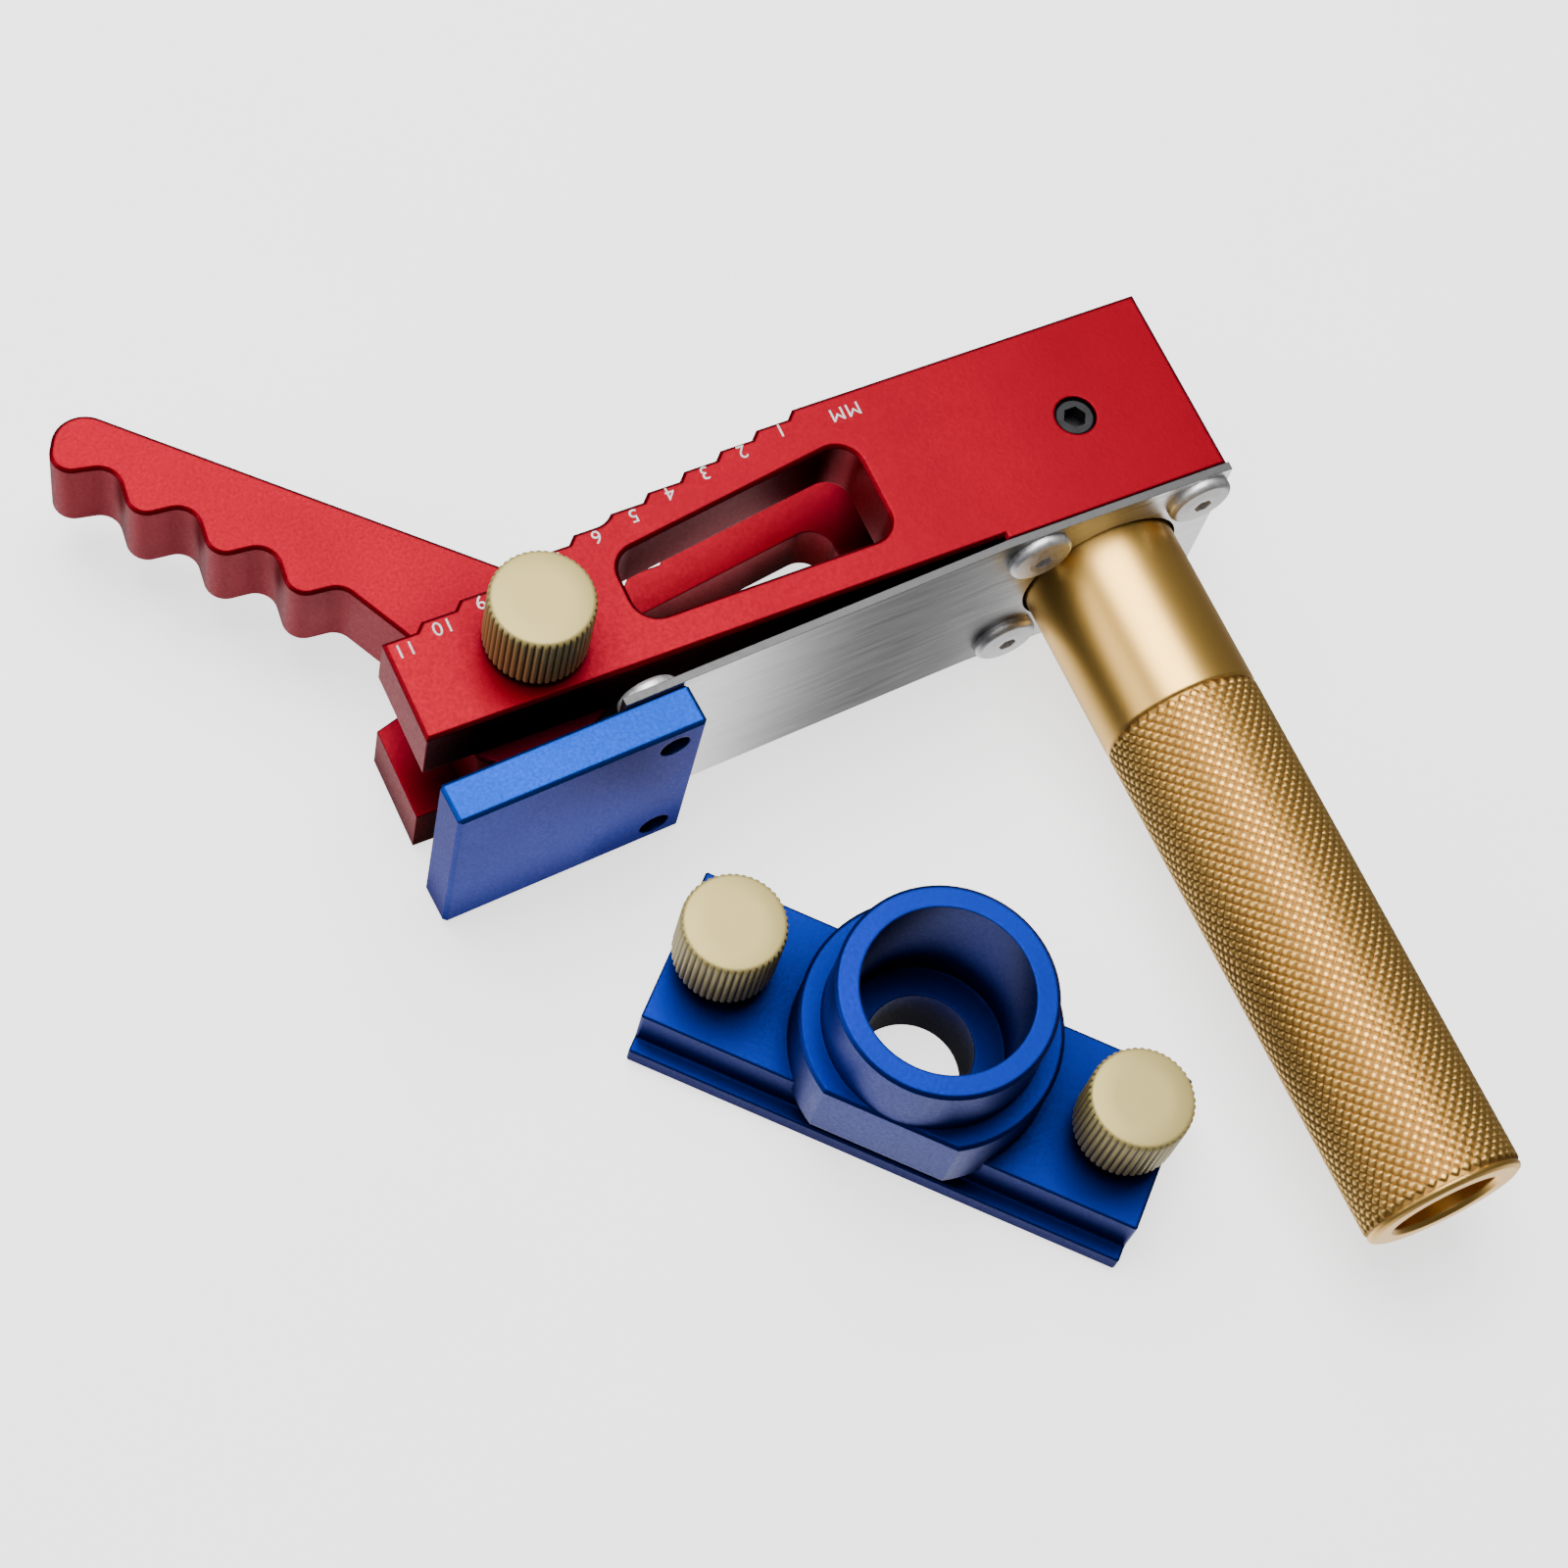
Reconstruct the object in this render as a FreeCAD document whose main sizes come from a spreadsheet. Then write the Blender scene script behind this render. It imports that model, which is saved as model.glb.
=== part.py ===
import FreeCAD, Part
import math
import os
import Sketcher

# A hand-held dowel joiner: a forked block with a stepped edge, a finger lever clamped in the fork by a
# knurled knob, a steel leaf with a pressure pad on one face, a tube handle that stands out of the same
# face, and a loose guide block whose collar slides over the tube.
#
# Frame: the block lies on its flat bottom face, Z = 0. X runs along the block, +X to its handle end.
# +Y runs towards the stepped edge, so the handle leaves along -Y. The origin is on the bottom face,
# under the grub screw that holds the handle.

DIMENSIONS = [
    # block
    ("body_length", 100.0),
    ("body_right", 14.1),
    ("body_height", 28.6),
    ("near_face", -12.0),
    ("far_face", 12.35),
    ("cheek", 8.3),
    ("slot_end", -20.5),
    ("lower_edge_start", -43.0),
    ("lower_edge_end", 0.3),
    ("boss_length", 29.0),
    ("boss_height", 0.8),
    ("step_start", -30.8),
    ("step_pitch", 5.0),
    ("step_drop", 1.0),
    ("window_left", -58.1),
    ("window_right", -26.2),
    ("window_near", -6.6),
    ("window_far_left", 2.2),
    ("window_far_right", 6.7),
    ("window_corner", 3.0),
    ("edge_break", 0.4),
    # handle tube and its socket in the block
    ("tube_radius", 9.6),
    ("tube_bore", 6.3),
    ("tube_end", -98.4),
    ("tube_seat", 6.4),
    ("tube_height", 14.3),
    ("socket_radius", 9.65),
    ("tube_bevel", 0.8),
    ("grub_radius", 2.45),
    ("grub_length", 4.3),
    ("grub_hole", 2.5),
    ("grub_key", 2.5),
    ("grub_point", 0.5),
    ("grub_rim", 0.3),
    # pivot of the lever
    ("pivot_x", -70.1),
    ("pivot_y", -4.16),
    ("bolt_radius", 2.45),
    ("bolt_head_radius", 4.25),
    ("bolt_head", 5.0),
    ("bolt_key", 4.0),
    ("bolt_bevel", 0.4),
    ("bolt_length", 30.3),
    ("bolt_hole", 2.55),
    ("counterbore_radius", 4.6),
    ("counterbore_depth", 5.2),
    ("washer_radius", 4.6),
    ("washer_thickness", 0.5),
    ("shim_thickness", 0.28),
    ("shim_radius", 5.5),
    ("bush_radius", 3.5),
    ("bush_bore", 2.5),
    # knurled knobs, the same on the pivot and on the guide block
    ("knob_radius", 6.0),
    ("knob_height", 9.4),
    ("knob_bevel", 0.5),
    ("knob_hole_depth", 7.0),
    # finger lever, measured from its pivot
    ("lever_thickness", 11.4),
    ("lever_root", 11.6),
    ("grip_normal", 39.1),
    ("tip_radius", 3.85),
    ("tip_along", 56.7),
    ("tip_offset", 0.75),
    ("tip_crest_along", 57.5),
    ("tip_crest_offset", 3.4),
    ("crest_offset", 3.85),
    ("groove_offset", 0.85),
    ("groove_near", 22.35),
    ("groove_pitch", 10.1),
    ("wave_radius", 2.5),
    ("neck_x", -16.4),
    ("neck_y", 7.03),
    ("neck_radius", 6.0),
    ("shank_x", -9.4),
    ("shank_y", -7.4),
    # steel leaf
    ("leaf_thickness", 1.0),
    ("leaf_low", 0.1),
    ("leaf_high", 28.9),
    ("leaf_angle", 2.7),
    ("blade_length", 49.3),
    ("leaf_tube_hole", 10.0),
    ("plate_screw_spread_x", 10.6),
    ("plate_screw_spread_z", 10.3),
    ("plate_screw_hole", 2.15),
    # pressure pad, measured along the bent blade from the bend
    ("pad_start", 41.7),
    ("pad_end", 71.9),
    ("pad_thickness", 5.1),
    ("pad_low", 0.7),
    ("pad_high", 28.4),
    ("pad_screw_along", 45.4),
    ("pad_screw_spread", 10.45),
    ("pad_hole", 1.85),
    # button-head screws
    ("plate_head_radius", 3.95),
    ("plate_head", 1.4),
    ("plate_shank", 1.95),
    ("plate_shank_length", 7.0),
    ("pad_head_radius", 3.75),
    ("pad_head", 1.4),
    ("pad_shank", 1.8),
    ("pad_shank_length", 4.6),
    ("thread_bevel", 0.3),
    ("head_rim", 0.35),
    ("head_round", 0.2),
    ("head_shoulder", 0.85),
    ("head_crown", 0.88),
    ("head_top", 0.45),
    ("screw_play", 0.05),
    ("screw_key", 2.0),
    ("key_depth", 0.9),
    # guide block, in its own frame: X along its rails, Z = 0 on its bottom face
    ("guide_x", -45.0),
    ("guide_y", -58.0),
    ("guide_angle", -47.0),
    ("rail_length", 59.6),
    ("rail_half", 11.5),
    ("rail_height", 2.9),
    ("waist_half", 9.65),
    ("deck_height", 9.2),
    ("hub_low", 7.0),
    ("hub_high", 17.3),
    ("hub_radius", 14.9),
    ("hub_flat", 12.6),
    ("collar_radius", 12.4),
    ("collar_high", 26.9),
    ("collar_bore", 9.7),
    ("guide_bore", 6.3),
    ("thumb_spread", 24.1),
    ("thumb_hole", 2.55),
    ("thumb_stud", 2.5),
    ("thumb_point", 0.6),
    ("thumb_stud_low", 2.0),
    ("thumb_stud_high", 18.2),
    ("thumb_knob_low", 11.7),
    ("guide_grub_height", 12.2),
    ("guide_grub_radius", 1.95),
    ("guide_grub_length", 4.4),
    ("guide_grub_hole", 2.0),
    ("guide_grub_key", 2.0),
    ("guide_grub_set_back", 0.1),
]
STEP_COUNT = 11
GROOVE_COUNT = 4

# The lever's heel pushes the pad out. These are the range of swing that the heel is shaped for, in degrees
# from rest, and the degrees that the leaf turns for each degree of the lever. The joint itself stops at -20
# degrees, short of where the heel's corner would meet the leaf.
SWING_LOW = -30.0
SWING_HIGH = 15.0
LEAF_RATIO = 0.055
HEEL_GAP = 0.2
HEEL_POINTS = 7

V = FreeCAD.Vector
os.makedirs("parts", exist_ok=True)
doc = FreeCAD.newDocument("dowel_joiner")

sheet = doc.addObject("Spreadsheet::Sheet", "dims")
for row, (alias, number) in enumerate(DIMENSIONS, 1):
    sheet.set(f"A{row}", alias)
    sheet.set(f"B{row}", str(number))
    sheet.setAlias(f"B{row}", alias)
doc.recompute()

sub_parts = []


def size(text):
    """The number that an expression of the sheet's aliases gives, such as 'body_height / 2'."""
    return float(sheet.evalExpression(text))


def bound(text):
    """The same expression, as other objects of the document write it."""
    words = sorted((alias for alias, _ in DIMENSIONS), key=len, reverse=True)
    out = ""
    rest = text
    while rest:
        word = next((w for w in words if rest.startswith(w)), None)
        inside_word = bool(out) and (out[-1].isalnum() or out[-1] == "_")
        if word and not inside_word:
            out += "dims." + word
            rest = rest[len(word):]
        else:
            out += rest[0]
            rest = rest[1:]
    return out


def named(obj, label):
    """Keep obj as a sub-part, under the label that names its file."""
    obj.Label = label
    sub_parts.append(obj)
    return obj


# ---- sketches and features ----


def new_body(name):
    return doc.addObject("PartDesign::Body", name)


def new_sketch(body, name, role, level="0"):
    """A sketch on one of the body's own origin planes, moved along the plane's normal by level."""
    sketch = body.newObject("Sketcher::SketchObject", name)
    plane = next(f for f in body.Origin.OriginFeatures if f.Role == role)
    sketch.AttachmentSupport = (plane, "")
    sketch.MapMode = "FlatFace"
    if level != "0":
        sketch.setExpression("AttachmentOffset.Base.z", bound(level))
    return sketch


def place_point(sketch, geometry, end, corner):
    """Fix one point of the sketch at a pair of expressions."""
    for kind, text in zip(("DistanceX", "DistanceY"), corner):
        index = sketch.addConstraint(Sketcher.Constraint(kind, -1, 1, geometry, end, size(text)))
        sketch.setExpression(f"Constraints[{index}]", bound(text))


def draw_outline(sketch, corners):
    """A closed outline. Each corner is (x, y) or (x, y, radius, side) as expressions.

    With a radius, the edge to the next corner is an arc whose centre is on the left (side 1) or the
    right (side -1) of the way along it.
    """
    places = [(size(corner[0]), size(corner[1])) for corner in corners]
    first = sketch.GeometryCount
    starts = []
    ends = []
    for number, corner in enumerate(corners):
        (ax, ay), (bx, by) = places[number], places[(number + 1) % len(places)]
        if len(corner) == 2:
            sketch.addGeometry(Part.LineSegment(V(ax, ay, 0), V(bx, by, 0)), False)
            starts.append((first + number, 1))
            ends.append((first + number, 2))
            continue
        radius = size(corner[2])
        side = corner[3]
        chord = math.hypot(bx - ax, by - ay)
        offset = side * math.sqrt(radius**2 - chord**2 / 4)
        cx = (ax + bx) / 2 - offset * (by - ay) / chord
        cy = (ay + by) / 2 + offset * (bx - ax) / chord
        begin = math.atan2(ay - cy, ax - cx)
        finish = math.atan2(by - cy, bx - cx)
        if side < 0:
            begin, finish = finish, begin
        circle = Part.Circle(V(cx, cy, 0), V(0, 0, 1), radius)
        sketch.addGeometry(Part.ArcOfCircle(circle, begin, finish), False)
        index = sketch.addConstraint(Sketcher.Constraint("Radius", first + number, radius))
        sketch.setExpression(f"Constraints[{index}]", bound(corner[2]))
        starts.append((first + number, 1 if side > 0 else 2))
        ends.append((first + number, 2 if side > 0 else 1))
    for number, corner in enumerate(corners):
        follows = starts[(number + 1) % len(corners)]
        sketch.addConstraint(Sketcher.Constraint("Coincident", *ends[number], *follows))
        place_point(sketch, *starts[number], corner[:2])


def draw_circles(sketch, circles):
    """Circles as (x, y, radius) expressions."""
    for x, y, radius in circles:
        index = sketch.addGeometry(Part.Circle(V(size(x), size(y), 0), V(0, 0, 1), size(radius)), False)
        place_point(sketch, index, 3, (x, y))
        number = sketch.addConstraint(Sketcher.Constraint("Radius", index, size(radius)))
        sketch.setExpression(f"Constraints[{number}]", bound(radius))


def pad_up(body, sketch, length, midplane=False):
    pad = body.newObject("PartDesign::Pad", sketch.Name + "_pad")
    pad.Profile = sketch
    pad.Midplane = midplane
    pad.setExpression("Length", bound(length))
    doc.recompute()
    return pad


def cut(body, sketch, length, midplane=False, reverse=False):
    """A pocket that has to take material away."""
    before = body.Shape.Volume
    pocket = body.newObject("PartDesign::Pocket", sketch.Name + "_cut")
    pocket.Profile = sketch
    pocket.Midplane = midplane
    pocket.Reversed = reverse
    pocket.setExpression("Length", bound(length))
    doc.recompute()
    if not body.Shape.Volume < before - 1e-6:
        raise RuntimeError(f"{pocket.Name} cuts nothing")
    return pocket


def turned(label, corners):
    """A solid of revolution about its own Y axis. Corners are (radius, height along the axis)."""
    body = new_body(label)
    sketch = new_sketch(body, label + "_profile", "XY_Plane")
    draw_outline(sketch, corners)
    spin = body.newObject("PartDesign::Revolution", label + "_turned")
    spin.Profile = sketch
    spin.ReferenceAxis = (sketch, ["V_Axis"])
    spin.Angle = 360
    doc.recompute()
    return body


def hex_socket(body, across, depth, top):
    """A hexagon socket of the given size across its flats, sunk from the height top."""
    sketch = new_sketch(body, body.Name + "_hex", "XZ_Plane", f"-({top})")
    reach = f"{across} / sqrt(3)"
    draw_outline(sketch, [(f"{reach} * cos({60 * k})", f"{reach} * sin({60 * k})") for k in range(6)])
    cut(body, sketch, f"2 * {depth}", midplane=True)


def soften(body, feature, edges, amount):
    """A chamfer along the given edges of the body's last feature."""
    chamfer = body.newObject("PartDesign::Chamfer", body.Name + "_edges")
    chamfer.Base = (feature, edges)
    chamfer.setExpression("Size", bound(amount))
    doc.recompute()
    return chamfer


def edge_names(shape, test):
    """Names of the edges whose every vertex passes the test."""
    return [
        f"Edge{number}"
        for number, edge in enumerate(shape.Edges, 1)
        if all(test(vertex.Point) for vertex in edge.Vertexes)
    ]


def near(value, text):
    return abs(value - size(text)) < 1e-4


def put(obj, x, y, z, turn=None):
    """Place obj by expressions. turn is the rotation that its own frame gets first."""
    if turn is not None:
        obj.Placement = FreeCAD.Placement(V(0, 0, 0), turn)
    for axis, text in zip("xyz", (x, y, z)):
        obj.setExpression(f"Placement.Base.{axis}", bound(text))


AXIS_UP = FreeCAD.Rotation(V(1, 0, 0), 90)
AXIS_DOWN = FreeCAD.Rotation(V(1, 0, 0), -90)
AXIS_NEAR = FreeCAD.Rotation(V(0, 0, 1), 180)
LEAF_TURN = FreeCAD.Rotation(V(0, 0, 1), size("leaf_angle"))
GUIDE_TURN = FreeCAD.Rotation(V(0, 0, 1), size("guide_angle"))

BODY_LEFT = "(body_right - body_length)"
BEND_X = "(body_right - boss_length)"
MID_HEIGHT = "body_height / 2"


# ---- the block ----


def make_body_block():
    """The forked block: stepped edge, handle socket, window, fork slot, pivot bore and screw holes."""
    body = new_body("body_block")

    outline = [
        ("body_right", "near_face"),
        ("body_right", "far_face"),
    ]
    for step in range(STEP_COUNT):
        riser = f"step_start - {step} * step_pitch"
        outline.append((riser, f"far_face - {step} * step_drop"))
        outline.append((f"{riser} - step_drop", f"far_face - {step + 1} * step_drop"))
    outline += [
        (BODY_LEFT, f"far_face - {STEP_COUNT} * step_drop"),
        (BODY_LEFT, "near_face + boss_height"),
        (BEND_X, "near_face + boss_height"),
        (BEND_X, "near_face"),
    ]
    sketch = new_sketch(body, "block_outline", "XY_Plane")
    draw_outline(sketch, outline)
    pad_up(body, sketch, "body_height")

    # The steps run through both cheeks. Towards its end the lower cheek is cut back further, by a taper.
    taper = new_sketch(body, "block_lower_edge", "XY_Plane")
    draw_outline(
        taper, [("lower_edge_start", "far_face"), (BODY_LEFT, "far_face"), (BODY_LEFT, "lower_edge_end")]
    )
    cut(body, taper, "2 * cheek + 2", midplane=True)

    window = new_sketch(body, "block_window", "XY_Plane")
    draw_outline(
        window,
        [
            ("window_left", "window_near"),
            ("window_right", "window_near"),
            ("window_right", "window_far_right"),
            ("window_left", "window_far_left"),
        ],
    )
    pocket = cut(body, window, "2 * body_height", midplane=True)
    corners = edge_names(
        pocket.Shape,
        lambda p: size("window_left") - 0.1 < p.x < size("window_right") + 0.1
        and size("window_near") - 0.1 < p.y < size("window_far_right") + 0.1,
    )
    upright = [
        name
        for name in corners
        if abs(pocket.Shape.getElement(name).BoundBox.ZLength - size("body_height")) < 1e-6
    ]
    rounds = body.newObject("PartDesign::Fillet", "window_rounds")
    rounds.Base = (pocket, upright)
    rounds.setExpression("Radius", bound("window_corner"))
    doc.recompute()

    outside = edge_names(rounds.Shape, lambda p: near(p.z, "body_height"))
    outside += edge_names(rounds.Shape, lambda p: near(p.z, "0"))
    soften(body, rounds, outside, "edge_break")

    slot = new_sketch(body, "block_slot", "XZ_Plane")
    draw_outline(
        slot,
        [
            (f"{BODY_LEFT} - 1", "cheek"),
            ("slot_end", "cheek"),
            ("slot_end", "body_height - cheek"),
            (f"{BODY_LEFT} - 1", "body_height - cheek"),
        ],
    )
    cut(body, slot, "4 * far_face", midplane=True)

    socket = new_sketch(body, "block_socket", "XZ_Plane", "-(near_face + tube_seat) / 2")
    draw_circles(socket, [("0", "tube_height", "socket_radius")])
    cut(body, socket, "tube_seat - near_face", midplane=True)

    screws = new_sketch(body, "block_screw_holes", "XZ_Plane", "-near_face")
    draw_circles(
        screws,
        [
            (f"{x} * plate_screw_spread_x", f"tube_height + {z} * plate_screw_spread_z", "plate_shank + screw_play")
            for x in (-1, 1)
            for z in (-1, 1)
        ],
    )
    cut(body, screws, "2 * plate_shank_length", midplane=True)

    grub = new_sketch(body, "block_grub_hole", "XY_Plane", "body_height")
    draw_circles(grub, [("0", "0", "grub_hole")])
    cut(body, grub, "2 * (body_height - tube_height - socket_radius / 2)", midplane=True)

    pivot = new_sketch(body, "block_pivot_hole", "XY_Plane")
    draw_circles(pivot, [("pivot_x", "pivot_y", "bolt_hole")])
    cut(body, pivot, "2 * body_height + 2", midplane=True)

    counterbore = new_sketch(body, "block_counterbore", "XY_Plane")
    draw_circles(counterbore, [("pivot_x", "pivot_y", "counterbore_radius")])
    cut(body, counterbore, "2 * counterbore_depth", midplane=True)
    return named(body, "body_block")


# ---- the handle ----


def make_grip_tube():
    """The handle: a plain tube with bevelled ends, seated in the block's socket."""
    tube = turned(
        "grip_tube",
        [
            ("tube_bore", "tube_end + tube_bevel / 2"),
            ("tube_bore + tube_bevel / 2", "tube_end"),
            ("tube_radius - tube_bevel", "tube_end"),
            ("tube_radius", "tube_end + tube_bevel"),
            ("tube_radius", "tube_seat - tube_bevel"),
            ("tube_radius - tube_bevel", "tube_seat"),
            ("tube_bore", "tube_seat"),
        ],
    )
    put(tube, "0", "0", "tube_height")
    return named(tube, "grip_tube")


def make_grub(label, radius, length, key):
    """A socket set screw with its tip at its own origin and its socket at the far end."""
    grub = turned(
        label,
        [
            ("0", "0"),
            (f"{radius} - grub_point", "0"),
            (radius, "grub_point"),
            (radius, f"{length} - grub_rim"),
            (f"{radius} - grub_rim", length),
            ("0", length),
        ],
    )
    hex_socket(grub, key, f"{length} / 2", length)
    return named(grub, label)


# ---- the pivot ----


def make_clamp_bolt():
    """A socket-head bolt, head down in the lower cheek, that carries the lever and the knob."""
    bolt = turned(
        "clamp_bolt",
        [
            ("0", "-bolt_length"),
            ("bolt_radius - bolt_bevel", "-bolt_length"),
            ("bolt_radius", "-bolt_length + bolt_bevel"),
            ("bolt_radius", "0"),
            ("bolt_head_radius", "0"),
            ("bolt_head_radius", "bolt_head - bolt_bevel"),
            ("bolt_head_radius - bolt_bevel", "bolt_head"),
            ("0", "bolt_head"),
        ],
    )
    hex_socket(bolt, "bolt_key", "bolt_head / 2", "bolt_head")
    put(bolt, "pivot_x", "pivot_y", "counterbore_depth", AXIS_DOWN)
    return named(bolt, "clamp_bolt")


def make_ring(label, outer, inner, height, x, y, z):
    """A flat ring with its axis upright: a washer, a shim or a bush."""
    ring = turned(label, [(inner, "0"), (outer, "0"), (outer, height), (inner, height)])
    put(ring, x, y, z, AXIS_UP)
    return named(ring, label)


def make_knob(label, x, y, z):
    """A knurled knob's plain outer shape, open below for the screw that it turns on."""
    knob = turned(
        label,
        [
            ("0", "knob_hole_depth"),
            ("thumb_hole", "knob_hole_depth"),
            ("thumb_hole", "0"),
            ("knob_radius - knob_bevel", "0"),
            ("knob_radius", "knob_bevel"),
            ("knob_radius", "knob_height - knob_bevel"),
            ("knob_radius - knob_bevel", "knob_height"),
            ("0", "knob_height"),
        ],
    )
    put(knob, x, y, z, AXIS_UP)
    return named(knob, label)


# ---- the lever ----


def grip_point(along, offset):
    """A point at offset along the grip edge's normal from the pivot, and along the edge from there."""
    angle = math.radians(size("grip_normal"))
    normal = V(math.cos(angle), math.sin(angle), 0)
    way = V(math.sin(angle), -math.cos(angle), 0)
    return normal * size(offset) + way * size(along)


def straight_run(first, second):
    """The ends of the straight run between two circles, each a (centre, radius).

    The radius is positive where the circle lies on the left of the run, negative where it lies on the
    right, and 0 for a plain corner.
    """
    gap = second[0] - first[0]
    lean = math.asin((second[1] - first[1]) / gap.Length)
    heading = math.atan2(gap.y, gap.x) - lean
    left = V(-math.sin(heading), math.cos(heading), 0)
    return first[0] - left * first[1], second[0] - left * second[1]


def round_bend(circle, begin, end):
    """The arc round one of the circles, from begin to end."""
    centre, radius = circle
    begin_angle = math.atan2(begin.y - centre.y, begin.x - centre.x)
    end_angle = math.atan2(end.y - centre.y, end.x - centre.x)
    turn = (end_angle - begin_angle) % (2 * math.pi)
    if radius < 0:
        turn -= 2 * math.pi
    middle = begin_angle + turn / 2
    through = centre + V(math.cos(middle), math.sin(middle), 0) * abs(radius)
    return Part.Arc(begin, through, end).toShape()


def heel_reach(swing):
    """Distance from the pivot to the pad's inner face when the lever has swung by this many degrees."""
    turn = math.radians(size("leaf_angle") + LEAF_RATIO * swing)
    along = size(f"{BEND_X} - pivot_x")
    across = size("pivot_y - near_face")
    return along * math.sin(turn) + across * math.cos(turn) + size("leaf_thickness")


def heel_points():
    """The lever's heel: the curve that stays HEEL_GAP short of the pad through the whole swing.

    The pad's face is a straight line that turns with the leaf. Seen from the lever, its normal turns
    back by 1 - LEAF_RATIO of the swing, and the heel is the envelope of all those lines.
    """
    points = []
    small = 0.01
    for number in range(HEEL_POINTS):
        swing = SWING_LOW + (SWING_HIGH - SWING_LOW) * number / (HEEL_POINTS - 1)
        facing = math.radians(-90 + size("leaf_angle") - (1 - LEAF_RATIO) * swing)
        reach = heel_reach(swing) - HEEL_GAP
        rate = (heel_reach(swing + small) - heel_reach(swing - small)) / (2 * math.radians(small))
        rate /= -(1 - LEAF_RATIO)
        outward = V(math.cos(facing), math.sin(facing), 0)
        sideways = V(-math.sin(facing), math.cos(facing), 0)
        points.append(outward * reach + sideways * rate)
    return points


def make_finger_lever():
    """The lever: a tapering arm with finger grooves, a round root and a heel that works on the pad."""
    root = size("lever_root")
    heel = heel_points()
    facing = math.radians(-90 + size("leaf_angle") - (1 - LEAF_RATIO) * SWING_LOW)
    root_end_angle = facing + math.acos((heel_reach(SWING_LOW) - HEEL_GAP) / root)
    root_end = V(math.cos(root_end_angle), math.sin(root_end_angle), 0) * root

    # Clockwise from the heel: the neck, the grooves and crests of the grip, the tip, and the root.
    circles = [
        (heel[-1], 0),
        (V(size("shank_x"), size("shank_y"), 0), 0),
        (V(size("neck_x"), size("neck_y"), 0), size("neck_radius")),
    ]
    for number in range(GROOVE_COUNT):
        groove = f"-groove_near - {number} * groove_pitch"
        crest = f"{groove} - groove_pitch / 2"
        circles.append((grip_point(groove, "-groove_offset - wave_radius"), size("wave_radius")))
        if number < GROOVE_COUNT - 1:
            circles.append((grip_point(crest, "wave_radius - crest_offset"), -size("wave_radius")))
    circles.append((grip_point("-tip_crest_along", "wave_radius - tip_crest_offset"), -size("wave_radius")))
    circles.append((grip_point("-tip_along", "tip_offset"), -size("tip_radius")))
    circles.append((V(0, 0, 0), -root))

    runs = [straight_run(first, second) for first, second in zip(circles, circles[1:])]
    edges = [Part.LineSegment(*run).toShape() for run in runs]
    for circle, (_, begin), (end, _) in zip(circles[1:], runs, runs[1:]):
        if circle[1] != 0:
            edges.append(round_bend(circle, begin, end))
    edges.append(round_bend(circles[-1], runs[-1][1], root_end))
    edges.append(Part.LineSegment(root_end, heel[0]).toShape())
    curve = Part.BSplineCurve()
    curve.interpolate(heel)
    edges.append(curve.toShape())

    face = Part.Face(Part.Wire(Part.__sortEdges__(edges)))
    arm = face.extrude(V(0, 0, size("lever_thickness")))
    rims = [edge for edge in arm.Edges if edge.BoundBox.ZLength < 1e-6]
    arm = arm.makeChamfer(size("edge_break"), rims)
    arm = arm.cut(Part.makeCylinder(size("bush_radius"), 3 * size("lever_thickness"), V(0, 0, -5)))

    lever = doc.addObject("Part::Feature", "finger_lever")
    lever.Shape = arm.removeSplitter()
    put(lever, "pivot_x", "pivot_y", "(body_height - lever_thickness) / 2")
    return named(lever, "finger_lever")


# ---- the leaf and its pad ----


def make_leaf_spring():
    """The steel leaf: flat on the boss, then bent outward, with holes for the handle and the screws."""
    leaf = new_body("leaf_spring")
    along_x = f"{BEND_X} - blade_length * cos(leaf_angle)"
    along_y = "near_face - blade_length * sin(leaf_angle)"
    skin_x = "leaf_thickness * sin(leaf_angle)"
    skin_y = "leaf_thickness * cos(leaf_angle)"
    bend = "leaf_thickness * tan(leaf_angle / 2)"
    outline = new_sketch(leaf, "leaf_outline", "XY_Plane", "leaf_low")
    draw_outline(
        outline,
        [
            ("body_right", "near_face"),
            (BEND_X, "near_face"),
            (along_x, along_y),
            (f"{along_x} + {skin_x}", f"{along_y} - {skin_y}"),
            (f"{BEND_X} + {bend}", "near_face - leaf_thickness"),
            ("body_right", "near_face - leaf_thickness"),
        ],
    )
    pad_up(leaf, outline, "leaf_high - leaf_low")
    holes = new_sketch(leaf, "leaf_holes", "XZ_Plane")
    circles = [("0", "tube_height", "leaf_tube_hole")]
    for x in (-1, 1):
        for z in (-1, 1):
            across = f"{x} * plate_screw_spread_x"
            circles.append((across, f"tube_height + {z} * plate_screw_spread_z", "plate_screw_hole"))
    for z in (-1, 1):
        across = f"{BEND_X} - pad_screw_along * cos(leaf_angle)"
        circles.append((across, f"(pad_low + pad_high) / 2 + {z} * pad_screw_spread", "plate_screw_hole"))
    draw_circles(holes, circles)
    cut(leaf, holes, "4 * tube_radius", midplane=True)
    return named(leaf, "leaf_spring")


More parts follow.
